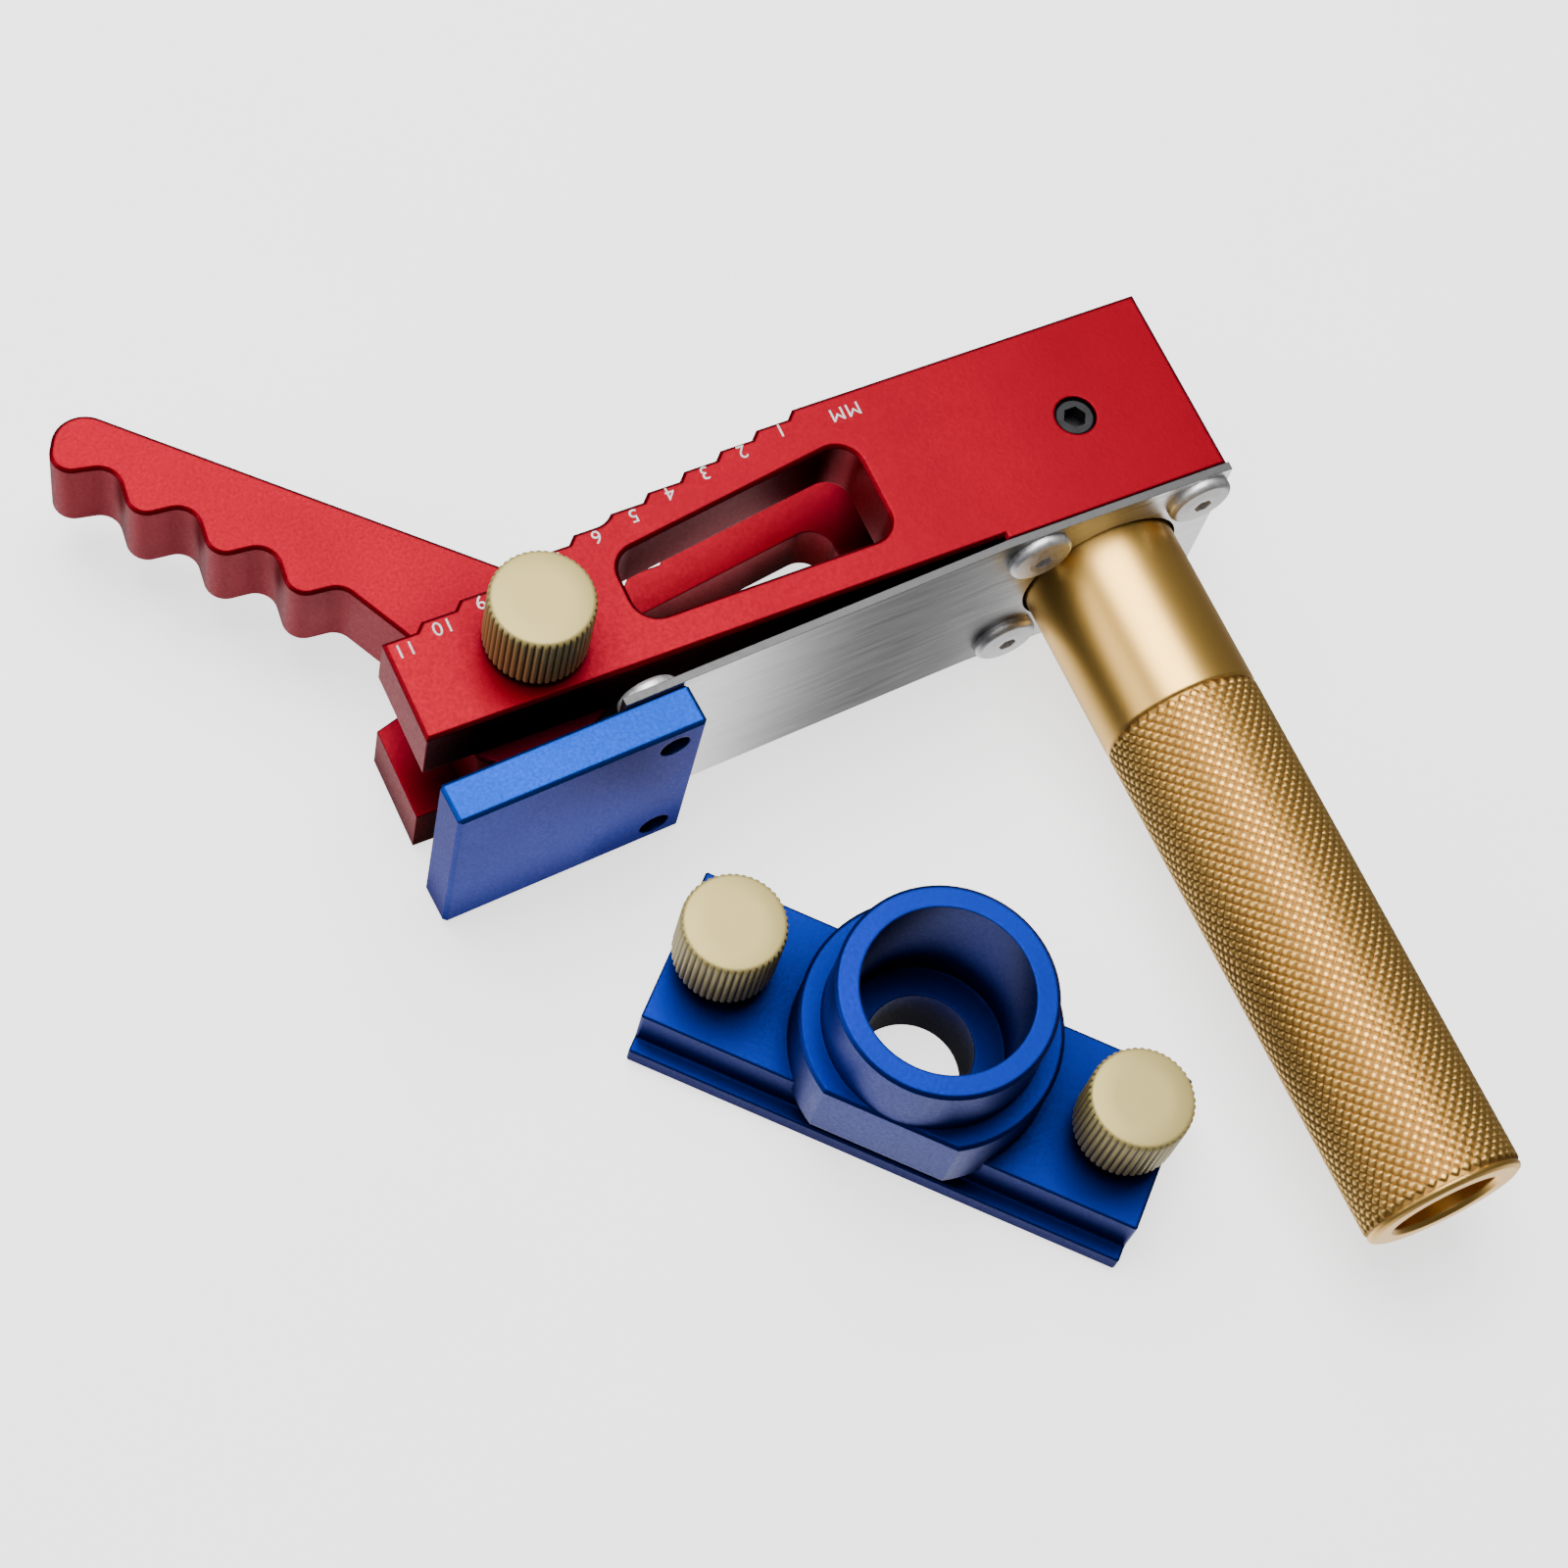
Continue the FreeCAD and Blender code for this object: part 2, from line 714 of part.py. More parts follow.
def make_pressure_pad():
    """The pad: a plain block on the outside of the blade, with two tapped holes right through."""
    pad = new_body("pressure_pad")
    outline = new_sketch(pad, "pad_outline", "XY_Plane", "pad_low")
    outer = "-leaf_thickness - pad_thickness"
    draw_outline(
        outline,
        [
            ("-pad_end", "-leaf_thickness"),
            ("-pad_end", outer),
            ("-pad_start", outer),
            ("-pad_start", "-leaf_thickness"),
        ],
    )
    block = pad_up(pad, outline, "pad_high - pad_low")
    edges = [f"Edge{number}" for number in range(1, len(block.Shape.Edges) + 1)]
    soften(pad, block, edges, "edge_break")
    holes = new_sketch(pad, "pad_holes", "XZ_Plane")
    draw_circles(
        holes,
        [
            ("-pad_screw_along", f"(pad_low + pad_high) / 2 + {z} * pad_screw_spread", "pad_hole")
            for z in (-1, 1)
        ],
    )
    cut(pad, holes, "8 * pad_thickness", midplane=True)
    put(pad, BEND_X, "near_face", "0", LEAF_TURN)
    return named(pad, "pressure_pad")


def make_button_screw(label, head_radius, head, shank, length):
    """A low-head socket screw, its head standing up from its own origin along +Y."""
    screw = turned(
        label,
        [
            ("0", f"-{length}"),
            (f"{shank} - thread_bevel", f"-{length}"),
            (shank, f"-{length} + thread_bevel"),
            (shank, "0"),
            (head_radius, "0"),
            (head_radius, f"head_rim * {head}", f"head_round * {head_radius}", 1),
            (f"head_shoulder * {head_radius}", f"head_crown * {head}"),
            (f"head_top * {head_radius}", head),
            ("0", head),
        ],
    )
    hex_socket(screw, "screw_key", "key_depth", head)
    return named(screw, label)


def make_screws():
    """Four screws through the leaf into the block, and two through the leaf into the pad."""
    number = 0
    for x in (-1, 1):
        for z in (1, -1):
            number += 1
            screw = make_button_screw(
                f"plate_screw_{number}", "plate_head_radius", "plate_head", "plate_shank", "plate_shank_length"
            )
            put(
                screw,
                f"{x} * plate_screw_spread_x",
                "near_face - leaf_thickness",
                f"tube_height + {z} * plate_screw_spread_z",
                AXIS_NEAR,
            )
    for number, z in enumerate((1, -1), 1):
        screw = make_button_screw(
            f"pad_screw_{number}", "pad_head_radius", "pad_head", "pad_shank", "pad_shank_length"
        )
        put(
            screw,
            f"{BEND_X} - pad_screw_along * cos(leaf_angle)",
            "near_face - pad_screw_along * sin(leaf_angle)",
            f"(pad_low + pad_high) / 2 + {z} * pad_screw_spread",
            LEAF_TURN,
        )


# ---- the guide block ----


def guide_point(along):
    """Expressions for the point on the guide block's long axis at this distance from its middle."""
    return f"guide_x + {along} * cos(guide_angle)", f"guide_y + {along} * sin(guide_angle)"


def make_guide_block():
    """The loose guide block: rails, waist and deck, a hub with two flats, and a collar for the handle."""
    body = new_body("guide_block")
    section = new_sketch(body, "guide_section", "YZ_Plane")
    draw_outline(
        section,
        [
            ("-rail_half", "0"),
            ("rail_half", "0"),
            ("rail_half", "rail_height"),
            ("waist_half", "rail_height"),
            ("waist_half", "deck_height"),
            ("-waist_half", "deck_height"),
            ("-waist_half", "rail_height"),
            ("-rail_half", "rail_height"),
        ],
    )
    bar = pad_up(body, section, "rail_length", midplane=True)
    soften(body, bar, [f"Edge{number}" for number in range(1, len(bar.Shape.Edges) + 1)], "edge_break / 2")

    hub = new_sketch(body, "guide_hub", "XY_Plane", "hub_low")
    chord = "sqrt(hub_radius^2 - hub_flat^2)"
    draw_outline(
        hub,
        [
            (f"-{chord}", "-hub_flat"),
            (chord, "-hub_flat", "hub_radius", 1),
            (chord, "hub_flat"),
            (f"-{chord}", "hub_flat", "hub_radius", 1),
        ],
    )
    hub_pad = pad_up(body, hub, "hub_high - hub_low")
    rim = edge_names(hub_pad.Shape, lambda p: near(p.z, "hub_high"))
    soften(body, hub_pad, rim, "edge_break")

    collar = new_sketch(body, "guide_collar", "XY_Plane", "deck_height")
    draw_circles(collar, [("0", "0", "collar_radius")])
    collar_pad = pad_up(body, collar, "collar_high - deck_height")
    rim = edge_names(collar_pad.Shape, lambda p: near(p.z, "collar_high"))
    soften(body, collar_pad, rim, "edge_break")

    bore = new_sketch(body, "guide_bore", "XY_Plane", "collar_high")
    draw_circles(bore, [("0", "0", "collar_bore")])
    cut(body, bore, "2 * (collar_high - deck_height)", midplane=True)
    through = new_sketch(body, "guide_through", "XY_Plane")
    draw_circles(through, [("0", "0", "guide_bore")])
    cut(body, through, "4 * deck_height", midplane=True)
    screws = new_sketch(body, "guide_screw_holes", "XY_Plane")
    draw_circles(screws, [("-thumb_spread", "0", "thumb_hole"), ("thumb_spread", "0", "thumb_hole")])
    cut(body, screws, "4 * deck_height", midplane=True)
    side = new_sketch(body, "guide_side_hole", "YZ_Plane", "hub_radius")
    draw_circles(side, [("0", "guide_grub_height", "guide_grub_hole")])
    cut(body, side, "hub_radius", midplane=True)
    put(body, "guide_x", "guide_y", "0", GUIDE_TURN)
    return named(body, "guide_block")


def make_guide_screws():
    """The hub's set screw, and the two thumb screws with their knobs backed off the deck."""
    grub = make_grub("guide_grub_screw", "guide_grub_radius", "guide_grub_length", "guide_grub_key")
    x, y = guide_point("(collar_bore + guide_grub_set_back)")
    put(grub, x, y, "guide_grub_height", GUIDE_TURN.multiply(FreeCAD.Rotation(V(0, 0, 1), -90)))
    for side, sign in (("left", -1), ("right", 1)):
        x, y = guide_point(f"{sign} * thumb_spread")
        stud = turned(
            f"thumb_stud_{side}",
            [
                ("0", "0"),
                ("thumb_stud - thumb_point", "0"),
                ("thumb_stud", "thumb_point"),
                ("thumb_stud", "thumb_stud_high - thumb_stud_low"),
                ("0", "thumb_stud_high - thumb_stud_low"),
            ],
        )
        put(stud, x, y, "thumb_stud_low", AXIS_UP)
        named(stud, f"thumb_stud_{side}")
        make_knob(f"thumb_knob_{side}", x, y, "thumb_knob_low")


make_body_block()
make_grip_tube()
grip_grub = make_grub("grip_grub_screw", "grub_radius", "grub_length", "grub_key")
put(grip_grub, "0", "0", "tube_height + tube_radius", AXIS_UP)
make_clamp_bolt()
lever_low = "(body_height - lever_thickness) / 2"
make_ring("lever_bush", "bush_radius", "bush_bore", "lever_thickness", "pivot_x", "pivot_y", lever_low)
make_ring("lever_shim_lower", "shim_radius", "bolt_hole", "shim_thickness", "pivot_x", "pivot_y", "cheek")
make_ring("lever_shim_upper", "shim_radius", "bolt_hole", "shim_thickness", "pivot_x", "pivot_y",
          "body_height - cheek - shim_thickness")
make_ring("clamp_washer", "washer_radius", "bolt_hole", "washer_thickness", "pivot_x", "pivot_y", "body_height")
make_knob("clamp_knob", "pivot_x", "pivot_y", "body_height + washer_thickness")
make_finger_lever()
make_leaf_spring()
make_pressure_pad()
make_screws()
make_guide_block()
make_guide_screws()
doc.recompute()

for obj in doc.Objects:
    if "Invalid" in obj.State or "Error" in obj.State:
        raise RuntimeError(f"{obj.Name}: {obj.State}")
for part in sub_parts:
    if part.Shape.isNull() or not part.Shape.isValid() or len(part.Shape.Solids) != 1:
        raise RuntimeError(f"{part.Label}: bad shape")
for part in sub_parts:
    part.Shape.exportStep(f"parts/{part.Label}.step")
    box = part.Shape.BoundBox
    print(
        f"{part.Label:20s} {part.Shape.Volume:10.1f} mm3 "
        f"X {box.XMin:7.2f} {box.XMax:7.2f} Y {box.YMin:7.2f} {box.YMax:7.2f} Z {box.ZMin:6.2f} {box.ZMax:6.2f}"
    )
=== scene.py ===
import math
import bmesh
import bpy
from mathutils import Matrix, Vector

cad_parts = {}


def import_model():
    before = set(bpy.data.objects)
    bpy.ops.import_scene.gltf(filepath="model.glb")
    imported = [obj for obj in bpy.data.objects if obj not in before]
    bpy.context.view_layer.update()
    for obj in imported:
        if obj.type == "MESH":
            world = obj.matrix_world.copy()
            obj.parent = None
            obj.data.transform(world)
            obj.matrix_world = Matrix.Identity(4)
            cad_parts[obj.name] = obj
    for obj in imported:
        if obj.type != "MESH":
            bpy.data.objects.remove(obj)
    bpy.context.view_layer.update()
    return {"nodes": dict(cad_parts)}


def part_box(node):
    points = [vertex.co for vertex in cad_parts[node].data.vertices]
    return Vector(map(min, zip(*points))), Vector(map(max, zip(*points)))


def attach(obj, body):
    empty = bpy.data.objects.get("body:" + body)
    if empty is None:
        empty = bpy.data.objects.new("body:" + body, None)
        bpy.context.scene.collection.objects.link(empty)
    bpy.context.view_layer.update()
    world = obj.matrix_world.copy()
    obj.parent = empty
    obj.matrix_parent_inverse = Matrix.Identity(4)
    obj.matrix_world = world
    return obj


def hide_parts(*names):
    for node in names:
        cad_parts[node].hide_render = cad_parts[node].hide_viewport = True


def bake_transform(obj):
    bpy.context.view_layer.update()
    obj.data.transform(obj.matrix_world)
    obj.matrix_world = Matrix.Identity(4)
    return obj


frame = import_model()

# Lengths are written in millimetres and multiplied by MM.
MM = 0.001
NODES = frame["nodes"]


def box_mm(node):
    """Lowest and highest corners of a CAD node, in millimetres."""
    low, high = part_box(node)
    return low / MM, high / MM


# ---------------------------------------------------------------- materials

def new_material(name):
    """A material with its node tree and its Principled shader."""
    material = bpy.data.materials.new(name)
    material.use_nodes = True
    tree = material.node_tree
    return material, tree, tree.nodes["Principled BSDF"]


def add(tree, kind, **settings):
    """A new node of a kind, with its settings."""
    node = tree.nodes.new(kind)
    for key, value in settings.items():
        setattr(node, key, value)
    return node


def object_points(tree, stretch=(1.0, 1.0, 1.0)):
    """Object coordinates, scaled along each axis."""
    place = add(tree, "ShaderNodeTexCoord")
    scale = add(tree, "ShaderNodeMapping")
    scale.inputs["Scale"].default_value = stretch
    tree.links.new(place.outputs["Object"], scale.inputs["Vector"])
    return scale.outputs["Vector"]


def noise(tree, points, per_metre, detail=3.0):
    node = add(tree, "ShaderNodeTexNoise")
    node.inputs["Scale"].default_value = per_metre
    node.inputs["Detail"].default_value = detail
    tree.links.new(points, node.inputs["Vector"])
    return node.outputs["Fac"]


def spread(tree, value, low, high, start=0.3, end=0.7):
    """Maps a noise value from start..end to low..high."""
    node = add(tree, "ShaderNodeMapRange")
    node.inputs["From Min"].default_value = start
    node.inputs["From Max"].default_value = end
    node.inputs["To Min"].default_value = low
    node.inputs["To Max"].default_value = high
    tree.links.new(value, node.inputs["Value"])
    return node.outputs["Result"]


def blend_colours(tree, factor, first, second):
    """Mixes two colours; either may be a socket."""
    node = add(tree, "ShaderNodeMix", data_type="RGBA")
    tree.links.new(factor, node.inputs[0])
    for socket, colour in ((node.inputs[6], first), (node.inputs[7], second)):
        if isinstance(colour, bpy.types.NodeSocket):
            tree.links.new(colour, socket)
        else:
            socket.default_value = (*colour, 1.0)
    return node.outputs[2]


def edge_mask(tree, radius):
    """1 on edges and 0 on open faces: how far a rounded normal turns from the true one."""
    rounded = add(tree, "ShaderNodeBevel", samples=6)
    rounded.inputs["Radius"].default_value = radius
    true = add(tree, "ShaderNodeNewGeometry")
    dot = add(tree, "ShaderNodeVectorMath", operation="DOT_PRODUCT")
    tree.links.new(rounded.outputs["Normal"], dot.inputs[0])
    tree.links.new(true.outputs["Normal"], dot.inputs[1])
    return rounded.outputs["Normal"], spread(tree, dot.outputs["Value"], 1.0, 0.0, 0.80, 0.985)


def painted_shade_mask(tree, reach):
    """1 deep in gaps and corners and 0 in the open, from how much of the surroundings is near; it places
    painted shade.
    """
    hollow = add(tree, "ShaderNodeAmbientOcclusion", samples=6)
    hollow.inputs["Distance"].default_value = reach
    return spread(tree, hollow.outputs["AO"], 1.0, 0.0, 0.25, 0.85)


def bump(tree, height, strength, distance, normal=None):
    node = add(tree, "ShaderNodeBump")
    node.inputs["Strength"].default_value = strength
    node.inputs["Distance"].default_value = distance
    tree.links.new(height, node.inputs["Height"])
    if normal is not None:
        tree.links.new(normal, node.inputs["Normal"])
    return node.outputs["Normal"]


# how far the edges of anodised parts look rounded, and how strongly they take a painted edge colour:
# painted shade where it is darker than the base, a painted highlight where it is lighter
EDGE_ROUND = 0.35 * MM
EDGE_SHARE = 0.45
CLOUDS_PER_METRE = 60.0
GRAINS_PER_METRE = 2600.0
GRAIN_HEIGHT = 0.05 * MM
# the radius of gaps that get painted shade, and the share of clear coat on open faces, taken away in gaps
# as painted shade on the reflection
PAINTED_SHADE_REACH = 14.0 * MM
COAT = 0.04


def anodised(name, colour, edge_painted_light, metallic, rough, grain=0.25, variation=0.10, groove_painted_shade=None,
             painted_shade_colour=None, glancing=(1.0, 1.0, 1.0)):
    """Bead-blasted and anodised metal: a fine even grain, faint clouding, painted light on its edges,
    painted shade in gaps and corners, and painted shade in knurl grooves.

    glancing tints what the metal reflects when it is seen almost edge on.
    """
    material, tree, shader = new_material(name)
    points = object_points(tree)
    rounded, edges = edge_mask(tree, EDGE_ROUND)
    clouds = noise(tree, points, CLOUDS_PER_METRE, 3.0)
    specks = noise(tree, points, GRAINS_PER_METRE, 2.0)
    dark = tuple(c * (1.0 - variation) for c in colour)
    light = tuple(min(1.0, c * (1.0 + variation)) for c in colour)
    clouded = blend_colours(tree, spread(tree, clouds, 0.0, 1.0), dark, light)
    speckled = blend_colours(tree, spread(tree, specks, 0.0, 0.35, 0.45, 0.75), clouded, light)
    # painted light on the edges: painted shade where the edge colour is darker than the base, a painted
    # highlight where it is lighter
    base = blend_colours(tree, spread(tree, edges, 0.0, EDGE_SHARE, 0.0, 1.0), speckled, edge_painted_light)
    if painted_shade_colour is not None:
        # painted shade in gaps and corners: a darker colour, a dark tint on the reflection and no coat
        # there
        painted_gap_shade = painted_shade_mask(tree, PAINTED_SHADE_REACH)
        base = blend_colours(tree, painted_gap_shade, base, painted_shade_colour)
        tint = blend_colours(tree, painted_gap_shade, glancing, painted_shade_colour)
        tree.links.new(tint, shader.inputs["Specular Tint"])
        tree.links.new(spread(tree, painted_gap_shade, COAT, 0.0, 0.0, 1.0), shader.inputs["Coat Weight"])
    # painted shade in the grooves of the knurl, deepest at the groove's floor
    if groove_painted_shade is not None:
        groove = add(tree, "ShaderNodeAttribute", attribute_name="groove")
        depth = spread(tree, groove.outputs["Fac"], 0.0, 1.0, 0.25, 0.95)
        base = blend_colours(tree, depth, base, groove_painted_shade)
    tree.links.new(base, shader.inputs["Base Color"])
    roughness = spread(tree, specks, rough - 0.2 * grain, rough + 0.24 * grain)
    tree.links.new(roughness, shader.inputs["Roughness"])
    blasted = bump(tree, specks, grain, GRAIN_HEIGHT, rounded)
    tree.links.new(blasted, shader.inputs["Normal"])
    shader.inputs["Metallic"].default_value = metallic
    shader.inputs["Specular IOR Level"].default_value = 0.3
    shader.inputs["Coat Roughness"].default_value = 0.3
    return material


def brushed(name, colour, along, rough, scratch=0.22, metallic=1.0, contrast=0.16):
    """Bare metal with a fine directional grain; along is the stretch of the grain's coordinates."""
    material, tree, shader = new_material(name)
    points = object_points(tree, along)
    rounded, edges = edge_mask(tree, 0.12 * MM)
    lines = noise(tree, points, 1500.0, 4.0)
    broad = noise(tree, points, 160.0, 2.0)
    dark = tuple(c * (1.0 - contrast) for c in colour)
    light = tuple(min(1.0, c * (1.0 + contrast)) for c in colour)
    streaks = blend_colours(tree, spread(tree, lines, 0.0, 1.0), dark, light)
    toned = blend_colours(tree, spread(tree, broad, 0.0, 0.4), streaks, dark)
    worn = blend_colours(tree, spread(tree, edges, 0.0, 0.5, 0.0, 1.0), toned, light)
    tree.links.new(worn, shader.inputs["Base Color"])
    tree.links.new(spread(tree, lines, rough - 0.06, rough + 0.10), shader.inputs["Roughness"])
    tree.links.new(bump(tree, lines, scratch, 0.02 * MM, rounded), shader.inputs["Normal"])
    shader.inputs["Metallic"].default_value = metallic
    return material


def plain_detail(name, colour, rough, metallic=0.0):
    """Paint, oxide or plastic: small mottling in colour and gloss."""
    material, tree, shader = new_material(name)
    points = object_points(tree)
    mottle = noise(tree, points, 900.0, 4.0)
    dark = tuple(c * 0.8 for c in colour)
    light = tuple(min(1.0, c * 1.2) for c in colour)
    mottled = blend_colours(tree, spread(tree, mottle, 0.0, 1.0), dark, light)
    tree.links.new(mottled, shader.inputs["Base Color"])
    tree.links.new(spread(tree, mottle, rough - 0.06, rough + 0.06), shader.inputs["Roughness"])
    tree.links.new(bump(tree, mottle, 0.15, 0.02 * MM), shader.inputs["Normal"])
    shader.inputs["Metallic"].default_value = metallic
    return material


# edge colours: painted shade on the red and the pad's edges, a painted highlight on the guide's; the last
# colours are painted shade in gaps
RED = anodised("red_anodised", (0.25, 0.0003, 0.010), (0.10, 0.0002, 0.003), 0.95, 0.46,
               painted_shade_colour=(0.045, 0.0015, 0.007), glancing=(1.0, 0.88, 0.90))
PAD_BLUE = anodised("pad_blue", (0.0002, 0.052, 0.42), (0.0002, 0.011, 0.10), 0.95, 0.46,
                    painted_shade_colour=(0.0, 0.014, 0.11), glancing=(0.80, 0.66, 0.55))
GUIDE_BLUE = anodised("guide_blue", (0.001, 0.015, 0.22), (0.003, 0.03, 0.30), 0.90, 0.42,
                      painted_shade_colour=(0.0, 0.003, 0.03))
# the lighter edge colours of the gold and the brass are painted highlights, and their last colours are
# painted shade in the grooves
KNURL_GOLD = anodised("gold_knurl", (0.99, 0.59, 0.15), (0.99, 0.72, 0.30), 0.97, 0.35, 0.02, 0.02,
                      (0.42, 0.23, 0.06))
BRASS = anodised("knob_brass", (0.54, 0.43, 0.15), (0.92, 0.84, 0.50), 0.35, 0.40, 0.05, 0.04,
                 (0.035, 0.03, 0.012))
STUD_BRASS = brushed("stud_brass", (0.55, 0.45, 0.24), (1.0, 1.0, 6.0), 0.34)
BUSH_BRASS = brushed("bush_brass", (0.60, 0.44, 0.20), (1.0, 1.0, 6.0), 0.32)
SCREW = brushed("screw_steel", (0.78, 0.78, 0.79), (1.0, 1.0, 1.0), 0.42, 0.08, 0.75)
BOLT = brushed("bolt_steel", (0.50, 0.50, 0.50), (1.0, 1.0, 1.0), 0.34, 0.12)
CUT_EDGE = brushed("leaf_cut_edge", (0.11, 0.11, 0.11), (1.0, 1.0, 0.1), 0.42, 0.3, 0.9)
BLACK = plain_detail("black_oxide", (0.022, 0.022, 0.024), 0.36, 0.7)
SHIM = plain_detail("shim_plastic", (0.80, 0.79, 0.75), 0.50)
PRINT = plain_detail("scale_print", (0.80, 0.78, 0.78), 0.55)

# painted reflection along the rolled leaf: bright and dark bands of reflection painted into its colour, as
# (X in millimetres, grey)
LEAF_PAINTED_REFLECTION = [
    (-64.0, 1.0),
    (-53.0, 1.0),
    (-44.0, 0.30),
    (-34.0, 0.0),
    (-24.0, 0.0),
    (-12.0, 0.12),
    (2.0, 1.0),
]


def leaf_steel():
    """Rolled spring steel, polished along its length, with a painted reflection: broad bright and dark
    bands across it in its colour.
    """
    material = brushed("leaf_steel", (1.0, 1.0, 1.0), (0.06, 1.0, 1.0), 0.30, 0.22, 0.9, 0.12)
    tree = material.node_tree
    shader = tree.nodes["Principled BSDF"]
    place = add(tree, "ShaderNodeTexCoord")
    split = add(tree, "ShaderNodeSeparateXYZ")
    tree.links.new(place.outputs["Object"], split.inputs["Vector"])
    first, last = LEAF_PAINTED_REFLECTION[0][0], LEAF_PAINTED_REFLECTION[-1][0]
    along = spread(tree, split.outputs["X"], 0.0, 1.0, first * MM, last * MM)
    painted_reflection_ramp = add(tree, "ShaderNodeValToRGB")
    painted_reflection_ramp.color_ramp.interpolation = "B_SPLINE"
    while len(painted_reflection_ramp.color_ramp.elements) < len(LEAF_PAINTED_REFLECTION):
        painted_reflection_ramp.color_ramp.elements.new(0.5)
    for element, (x, grey) in zip(painted_reflection_ramp.color_ramp.elements, LEAF_PAINTED_REFLECTION):
        element.position = (x - first) / (last - first)
        element.color = (grey, grey, grey, 1.0)
    tree.links.new(along, painted_reflection_ramp.inputs["Fac"])
    # the painted reflection multiplies the steel's streaked colour
    streaks = shader.inputs["Base Color"].links[0].from_socket
    toned = add(tree, "ShaderNodeMix", data_type="RGBA", blend_type="MULTIPLY")
    toned.inputs[0].default_value = 1.0
    tree.links.new(streaks, toned.inputs[6])
    tree.links.new(painted_reflection_ramp.outputs["Color"], toned.inputs[7])
    tree.links.new(toned.outputs[2], shader.inputs["Base Color"])
    return material


LEAF = leaf_steel()

CAD_MATERIALS = {
    "body_block": RED,
    "finger_lever": RED,
    "pressure_pad": PAD_BLUE,
    "guide_block": GUIDE_BLUE,
    "thumb_stud_left": STUD_BRASS,
    "thumb_stud_right": STUD_BRASS,
    "lever_bush": BUSH_BRASS,
    "grip_grub_screw": BLACK,
    "guide_grub_screw": BLACK,
    "clamp_bolt": BOLT,
    "clamp_washer": BOLT,
    "lever_shim_lower": SHIM,
    "lever_shim_upper": SHIM,
    "plate_screw_1": SCREW,
    "plate_screw_2": SCREW,
    "plate_screw_3": SCREW,
    "plate_screw_4": SCREW,
    "pad_screw_1": SCREW,
    "pad_screw_2": SCREW,
}
for node_name, node_material in CAD_MATERIALS.items():
    for node_slot in NODES[node_name].material_slots:
        node_slot.material = node_material


# ---------------------------------------------------------------- mesh tools

def shade(made, smooth_below):
    """Smooth shading across edges where faces meet at less than smooth_below degrees."""
    limit = math.radians(smooth_below)
    for face in made.faces:
        face.smooth = True
    for edge in made.edges:
        edge.smooth = len(edge.link_faces) == 2 and edge.calc_face_angle(0.0) < limit


def mesh_object(name, points, faces, material, smooth_below, depths):
    """A mesh from points in millimetres; depths, one a point, is how deep in a groove it lies, 0 to 1."""
    mesh = bpy.data.meshes.new(name)
    mesh.from_pydata([Vector(p) * MM for p in points], [], faces)
    mesh.attributes.new("groove", "FLOAT", "POINT").data.foreach_set("value", depths)
    made = bmesh.new()
    made.from_mesh(mesh)
    bmesh.ops.recalc_face_normals(made, faces=made.faces)
    shade(made, smooth_below)
    made.to_mesh(mesh)
    made.free()
    mesh.materials.append(material)
    piece = bpy.data.objects.new(name, mesh)
    bpy.context.scene.collection.objects.link(piece)
    return piece


def ring_faces(first, second, count):
    """Quads between two rings of point numbers."""
    return [
        (first + i, first + (i + 1) % count, second + (i + 1) % count, second + i)
        for i in range(count)
    ]


# ---------------------------------------------------------------- straight-knurled knobs

KNOB_TEETH = 46
# points round the knob for each tooth
KNOB_STEPS = 8
KNOB_GROOVE = 0.26
# part of a tooth's width that its groove takes up
GROOVE_SHARE = 0.62
KNOB_BEVEL = 0.5
KNOB_BORE = 2.6
# solid metal left above the bore
KNOB_ROOF = 2.4


def knurl_depth(turn):
    """Depth of a rounded groove between two flat-topped teeth, 0 to 1, for a turn in teeth."""
    across = abs((turn % 1.0) - 0.5) * 2.0
    return max(0.0, 1.0 - across / GROOVE_SHARE)


